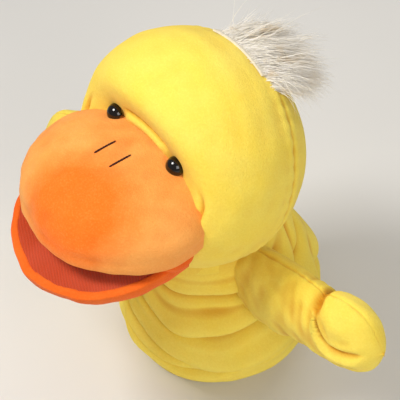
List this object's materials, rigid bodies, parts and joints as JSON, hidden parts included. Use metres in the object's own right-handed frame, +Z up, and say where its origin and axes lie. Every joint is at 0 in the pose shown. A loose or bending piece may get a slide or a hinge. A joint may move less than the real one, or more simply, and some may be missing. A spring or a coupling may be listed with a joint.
{
  "type": "moving mouth puppet",
  "caption": "Plush duck glove puppet with a padded head and beak worked by the hand, sewn eyes, a fur tuft, two padded wings and an open sleeve.",
  "frame": {"origin": "middle of the hand opening, in the plane of the hem", "axes": "+Z up along the sleeve, the duck faces -Y, +X to the duck's left"},
  "size_m": [0.3519, 0.2453, 0.2995],
  "materials": {
    "yellow_plush": "short soft pile",
    "lining_cloth": "plain woven",
    "stuffing": "matt fibre",
    "white_fur": "long soft pile",
    "fur_base": "matt",
    "orange_plush": "short soft pile",
    "mouth_cloth": "fine ribbed",
    "mouth_board": "matt",
    "dark_thread": "satin",
    "eye_black": "polished",
    "washer_plastic": "matt"
  },
  "bodies": {
    "sleeve": {"body_front_panel": "yellow_plush", "body_back_panel": "yellow_plush", "body_lining": "lining_cloth", "hem_band": "yellow_plush"},
    "collar": {"neck_gusset": "yellow_plush"},
    "neck": {"neck_lining": "lining_cloth"},
    "head": {"head_front_panel": "yellow_plush", "head_back_panel": "yellow_plush", "head_stuffing": "stuffing", "head_lining": "lining_cloth", "fur_tuft": "white_fur", "fur_backing": "fur_base", "eye_left": "eye_black", "eye_right": "eye_black", "eye_washer_left": "washer_plastic", "eye_washer_right": "washer_plastic", "upper_beak_plush": "orange_plush", "upper_beak_foam": "stuffing", "upper_mouth_plate": "mouth_board", "palate_lining": "mouth_cloth", "finger_pocket": "mouth_cloth", "nostril_stitches": "dark_thread"},
    "jaw": {"lower_beak_plush": "orange_plush", "lower_beak_foam": "stuffing", "lower_mouth_plate": "mouth_board", "mouth_floor_lining": "mouth_cloth", "thumb_pocket": "mouth_cloth"},
    "wing_left": {"wing_left_front_panel": "yellow_plush", "wing_left_back_panel": "yellow_plush", "wing_left_stuffing": "stuffing"},
    "wing_right": {"wing_right_front_panel": "yellow_plush", "wing_right_back_panel": "yellow_plush", "wing_right_stuffing": "stuffing"}
  },
  "joints": [
    {"name": "head_turn", "type": "hinge", "parent": "sleeve", "child": "collar", "pos_m": [0, -0.022, 0.216], "axis": [0, -0.2079, 0.9781], "range_deg": [-30, 30]},
    {"name": "head_tilt", "type": "hinge", "parent": "collar", "child": "neck", "pos_m": [0, -0.022, 0.216], "axis": [0, 0.9781, 0.2079], "range_deg": [-15, 15]},
    {"name": "head_nod", "type": "hinge", "parent": "neck", "child": "head", "pos_m": [0, -0.022, 0.216], "axis": [1, 0, 0], "range_deg": [-20, 12]},
    {"name": "jaw_open", "type": "hinge", "parent": "head", "child": "jaw", "pos_m": [0, -0.08027, 0.20209], "axis": [1, 0, 0], "range_deg": [-14, 25]},
    {"name": "wing_left_flap", "type": "hinge", "parent": "sleeve", "child": "wing_left", "pos_m": [0.066, -0.006, 0.122], "axis": [0, -1, 0], "range_deg": [-40, 25]},
    {"name": "wing_right_flap", "type": "hinge", "parent": "sleeve", "child": "wing_right", "pos_m": [-0.066, -0.006, 0.122], "axis": [0, 1, 0], "range_deg": [-27, 34]}
  ]
}
